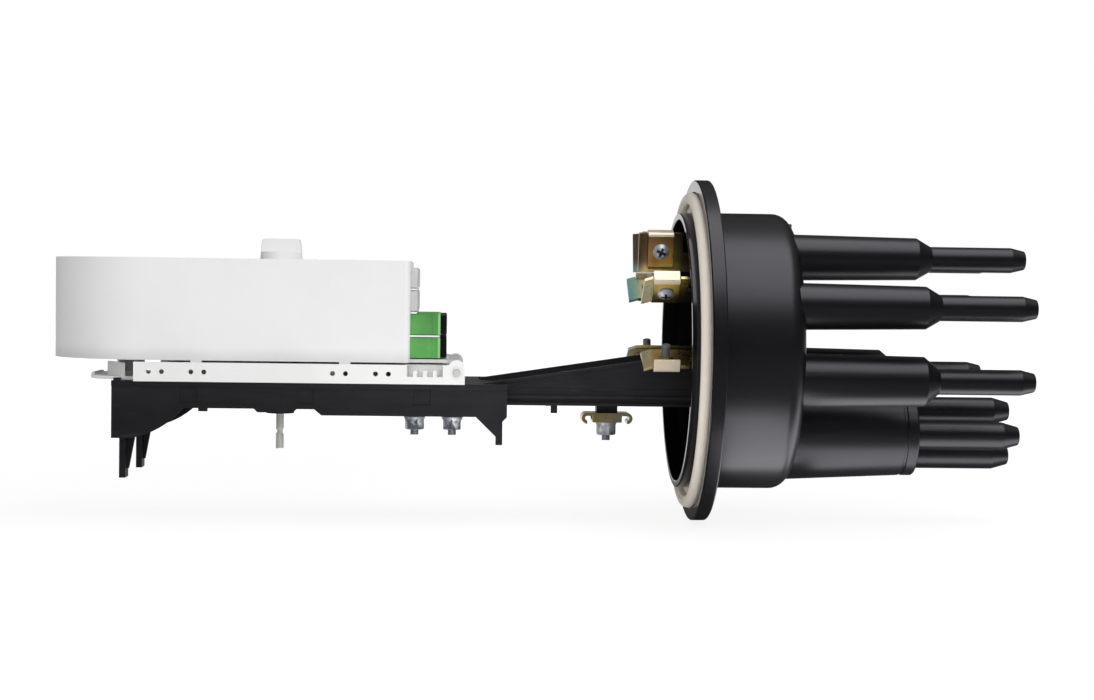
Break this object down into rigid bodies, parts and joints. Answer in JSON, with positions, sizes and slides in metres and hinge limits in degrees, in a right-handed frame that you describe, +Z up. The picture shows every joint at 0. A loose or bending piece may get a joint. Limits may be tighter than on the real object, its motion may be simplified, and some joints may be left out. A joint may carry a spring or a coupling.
{
  "type": "fibre splice closure",
  "caption": "Dome-type fibre splice closure shown open: black base with stepped cable ports and seal ring, chassis with splice tray, patch box with green adapters, zinc cable clamps.",
  "frame": {"origin": "centre of the flange's seal face, on the closure's axis", "axes": "+X towards the cable ports, -X towards the chassis' free end, +Z up, the patch box on top"},
  "size_m": [0.4469, 0.159, 0.159],
  "materials": {
    "black_plastic": "satin moulded black",
    "seal_rubber": "smooth cream silicone",
    "white_plastic": "satin white moulding",
    "green_plastic": "satin green moulding",
    "cap_plastic": "soft black moulding",
    "yellow_zinc": "yellow passivated zinc with rainbow tints",
    "bright_zinc": "bright zinc"
  },
  "bodies": {
    "closure": {"base_body": "black_plastic", "chassis": "black_plastic", "seal_ring": "seal_rubber", "chassis_root_screws": "bright_zinc", "strip_foot_screws": "bright_zinc", "tray_bolts": "bright_zinc", "tray_bolt_nuts": "bright_zinc", "under_clamp_bolt": "bright_zinc", "under_clamp_nut": "bright_zinc", "clamp_screws": "bright_zinc", "hinge_pin": "white_plastic", "splice_tray": "white_plastic", "splice_comb_near": "white_plastic", "splice_comb_far": "white_plastic", "patch_box": "white_plastic", "patch_lid": "white_plastic", "blank_plugs_row_3": "white_plastic", "blank_plugs_row_4": "white_plastic", "adapter_1_1": "green_plastic", "adapter_1_2": "green_plastic", "adapter_1_3": "green_plastic", "adapter_1_4": "green_plastic", "adapter_1_5": "green_plastic", "adapter_1_6": "green_plastic", "adapter_2_1": "green_plastic", "adapter_2_2": "green_plastic", "adapter_2_3": "green_plastic", "adapter_2_4": "green_plastic", "adapter_2_5": "green_plastic", "adapter_2_6": "green_plastic", "clamp_strip_upper_near": "yellow_zinc", "clamp_saddle_upper_near": "yellow_zinc", "clamp_strip_upper_far": "yellow_zinc", "clamp_saddle_upper_far": "yellow_zinc", "clamp_strip_side_near": "yellow_zinc", "clamp_saddle_side_near": "yellow_zinc", "clamp_strip_side_far": "yellow_zinc", "clamp_saddle_side_far": "yellow_zinc", "clamp_strip_lower_near": "yellow_zinc", "clamp_saddle_lower_near": "yellow_zinc", "clamp_strip_lower_far": "yellow_zinc", "clamp_saddle_lower_far": "yellow_zinc", "under_clamp_plate": "yellow_zinc"},
    "retaining_screw": {"retaining_screw": "white_plastic"},
    "dust_cap_1_1": {"dust_cap_1_1": "cap_plastic"},
    "dust_cap_1_2": {"dust_cap_1_2": "cap_plastic"},
    "dust_cap_1_3": {"dust_cap_1_3": "cap_plastic"},
    "dust_cap_1_4": {"dust_cap_1_4": "cap_plastic"},
    "dust_cap_1_5": {"dust_cap_1_5": "cap_plastic"},
    "dust_cap_1_6": {"dust_cap_1_6": "cap_plastic"},
    "dust_cap_2_1": {"dust_cap_2_1": "cap_plastic"},
    "dust_cap_2_2": {"dust_cap_2_2": "cap_plastic"},
    "dust_cap_2_3": {"dust_cap_2_3": "cap_plastic"},
    "dust_cap_2_4": {"dust_cap_2_4": "cap_plastic"},
    "dust_cap_2_5": {"dust_cap_2_5": "cap_plastic"},
    "dust_cap_2_6": {"dust_cap_2_6": "cap_plastic"}
  },
  "joints": [
    {"name": "retaining_screw_turn", "type": "hinge", "parent": "closure", "child": "retaining_screw", "pos_m": [-0.1913, 0, 0], "axis": [0, 0, 1], "continuous": true},
    {"name": "dust_cap_1_1_pull", "type": "slide", "parent": "closure", "child": "dust_cap_1_1", "axis": [1, 0, 0], "range_m": [0, 0.012]},
    {"name": "dust_cap_1_2_pull", "type": "slide", "parent": "closure", "child": "dust_cap_1_2", "axis": [1, 0, 0], "range_m": [0, 0.012]},
    {"name": "dust_cap_1_3_pull", "type": "slide", "parent": "closure", "child": "dust_cap_1_3", "axis": [1, 0, 0], "range_m": [0, 0.012]},
    {"name": "dust_cap_1_4_pull", "type": "slide", "parent": "closure", "child": "dust_cap_1_4", "axis": [1, 0, 0], "range_m": [0, 0.012]},
    {"name": "dust_cap_1_5_pull", "type": "slide", "parent": "closure", "child": "dust_cap_1_5", "axis": [1, 0, 0], "range_m": [0, 0.012]},
    {"name": "dust_cap_1_6_pull", "type": "slide", "parent": "closure", "child": "dust_cap_1_6", "axis": [1, 0, 0], "range_m": [0, 0.012]},
    {"name": "dust_cap_2_1_pull", "type": "slide", "parent": "closure", "child": "dust_cap_2_1", "axis": [1, 0, 0], "range_m": [0, 0.012]},
    {"name": "dust_cap_2_2_pull", "type": "slide", "parent": "closure", "child": "dust_cap_2_2", "axis": [1, 0, 0], "range_m": [0, 0.012]},
    {"name": "dust_cap_2_3_pull", "type": "slide", "parent": "closure", "child": "dust_cap_2_3", "axis": [1, 0, 0], "range_m": [0, 0.012]},
    {"name": "dust_cap_2_4_pull", "type": "slide", "parent": "closure", "child": "dust_cap_2_4", "axis": [1, 0, 0], "range_m": [0, 0.012]},
    {"name": "dust_cap_2_5_pull", "type": "slide", "parent": "closure", "child": "dust_cap_2_5", "axis": [1, 0, 0], "range_m": [0, 0.012]},
    {"name": "dust_cap_2_6_pull", "type": "slide", "parent": "closure", "child": "dust_cap_2_6", "axis": [1, 0, 0], "range_m": [0, 0.012]}
  ]
}
